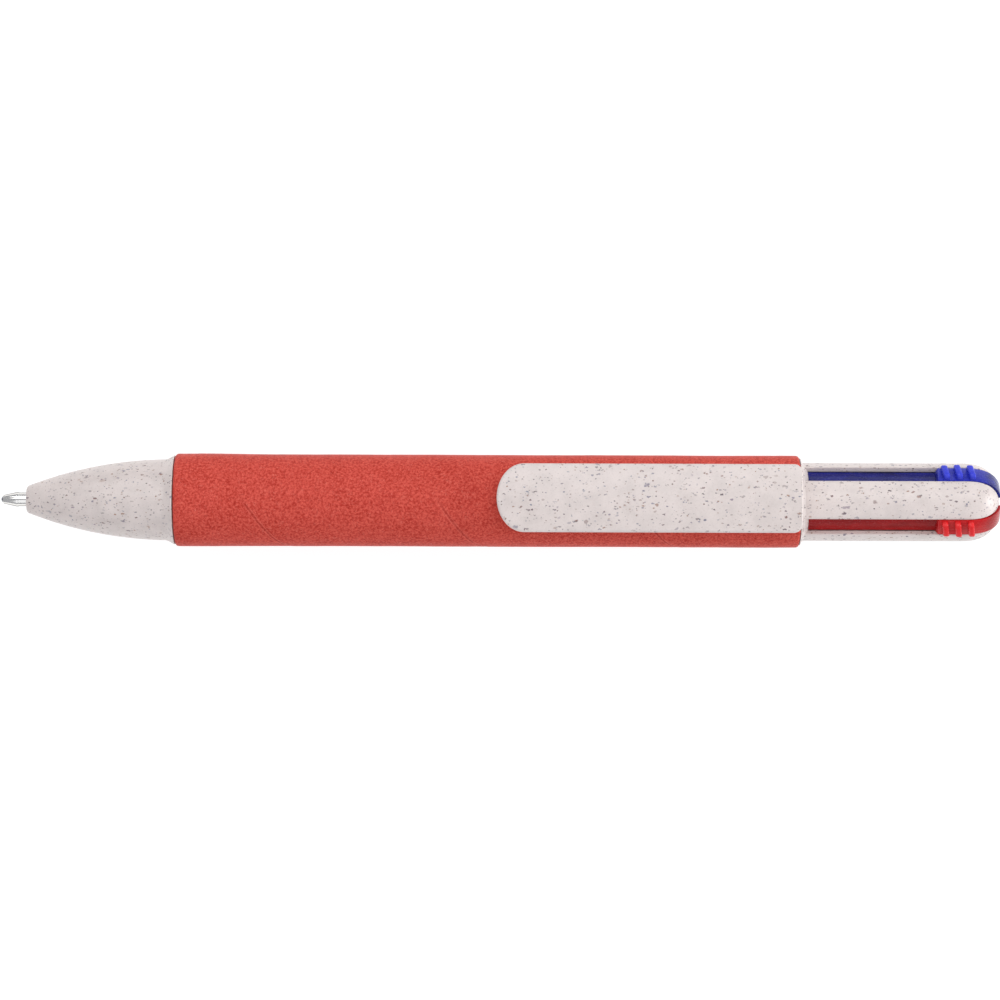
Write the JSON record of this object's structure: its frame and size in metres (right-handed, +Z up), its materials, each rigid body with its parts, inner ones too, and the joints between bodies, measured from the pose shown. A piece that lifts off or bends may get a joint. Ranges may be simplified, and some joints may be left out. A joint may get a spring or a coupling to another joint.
{
  "type": "multicolor click pen",
  "caption": "Retractable multicolor ball pen with a red paper barrel, speckled nose, flat clip and thumb sliders in a slotted, domed rear body.",
  "frame": {"origin": "middle of the pen's length and width, on the surface it lies on, below the barrel", "axes": "+X from the writing point to the sliders' end, +Z up through the clip, +Y towards the blue and black sliders"},
  "size_m": [0.147, 0.0136, 0.0162],
  "materials": {
    "straw_plastic": "satin, speckled with plant fibre",
    "red_paper": "matte recycled paper",
    "liner_plastic": "matte",
    "nickel_silver": "bright turned metal",
    "carbide": "polished",
    "spring_steel": "drawn wire",
    "refill_tube": "translucent natural plastic",
    "blue_plastic": "glossy, slightly translucent",
    "blue_ink": "wet ink",
    "red_plastic": "glossy, slightly translucent",
    "red_ink": "wet ink",
    "green_plastic": "glossy, slightly translucent",
    "green_ink": "wet ink",
    "black_plastic": "glossy, slightly translucent",
    "black_ink": "wet ink"
  },
  "bodies": {
    "root": {"nose_cone": "straw_plastic", "front_insert": "liner_plastic", "paper_sleeve": "red_paper", "inner_barrel": "liner_plastic", "rear_body": "straw_plastic", "spring_seat": "liner_plastic", "guide_core": "liner_plastic", "return_spring_blue": "spring_steel", "return_spring_red": "spring_steel", "return_spring_green": "spring_steel", "return_spring_black": "spring_steel"},
    "clip": {"clip": "straw_plastic"},
    "slider_blue": {"slider_blue": "blue_plastic", "refill_tube_blue": "refill_tube", "refill_ink_blue": "blue_ink"},
    "refill_blue": {"refill_tip_blue": "nickel_silver", "refill_ball_blue": "carbide"},
    "slider_red": {"slider_red": "red_plastic", "refill_tube_red": "refill_tube", "refill_ink_red": "red_ink"},
    "refill_red": {"refill_tip_red": "nickel_silver", "refill_ball_red": "carbide"},
    "slider_green": {"slider_green": "green_plastic", "refill_tube_green": "refill_tube", "refill_ink_green": "green_ink"},
    "refill_green": {"refill_tip_green": "nickel_silver", "refill_ball_green": "carbide"},
    "slider_black": {"slider_black": "black_plastic", "refill_tube_black": "refill_tube", "refill_ink_black": "black_ink"},
    "refill_black": {"refill_tip_black": "nickel_silver", "refill_ball_black": "carbide"}
  },
  "joints": [
    {"name": "blue_slide", "type": "slide", "parent": "root", "child": "slider_blue", "axis": [-1, 0, 0], "range_m": [0, 0.015], "stiffness_N_per_m": 60, "springref_m": -0.01, "deforming": ["return_spring_blue", "refill_tube_blue", "refill_ink_blue"]},
    {"name": "blue_refill_bend", "type": "slide", "parent": "slider_blue", "child": "refill_blue", "axis": [0, -0.7071, -0.7071], "range_m": [0, 0.0026], "deforming": ["refill_tip_blue", "refill_ball_blue"]},
    {"name": "red_slide", "type": "slide", "parent": "root", "child": "slider_red", "axis": [-1, 0, 0], "range_m": [0, 0.015], "stiffness_N_per_m": 60, "springref_m": -0.01, "deforming": ["return_spring_red", "refill_tube_red", "refill_ink_red"]},
    {"name": "red_refill_bend", "type": "slide", "parent": "slider_red", "child": "refill_red", "axis": [0, 0.7071, -0.7071], "range_m": [0, 0.0026], "deforming": ["refill_tip_red", "refill_ball_red"]},
    {"name": "green_slide", "type": "slide", "parent": "root", "child": "slider_green", "axis": [-1, 0, 0], "range_m": [0, 0.015], "stiffness_N_per_m": 60, "springref_m": -0.01, "deforming": ["return_spring_green", "refill_tube_green", "refill_ink_green"]},
    {"name": "green_refill_bend", "type": "slide", "parent": "slider_green", "child": "refill_green", "axis": [0, 0.7071, 0.7071], "range_m": [0, 0.0026], "deforming": ["refill_tip_green", "refill_ball_green"]},
    {"name": "black_slide", "type": "slide", "parent": "root", "child": "slider_black", "axis": [-1, 0, 0], "range_m": [-0.015, 0], "deforming": ["return_spring_black", "refill_tube_black", "refill_ink_black"]},
    {"name": "black_refill_bend", "type": "slide", "parent": "slider_black", "child": "refill_black", "axis": [0, -0.7071, 0.7071], "range_m": [-0.0026, 0], "deforming": ["refill_tip_black", "refill_ball_black"]},
    {"name": "clip_flex", "type": "hinge", "parent": "root", "child": "clip", "pos_m": [0.044, 0, 0.01307], "axis": [0, 1, 0], "range_deg": [0, 3], "stiffness_Nm_per_rad": 2, "springref_deg": -1.15}
  ],
  "couplings": [
    {"joint": "blue_refill_bend", "follows": "blue_slide", "ratio": 0.17333},
    {"joint": "red_refill_bend", "follows": "red_slide", "ratio": 0.17333},
    {"joint": "green_refill_bend", "follows": "green_slide", "ratio": 0.17333},
    {"joint": "black_refill_bend", "follows": "black_slide", "ratio": 0.17333}
  ]
}
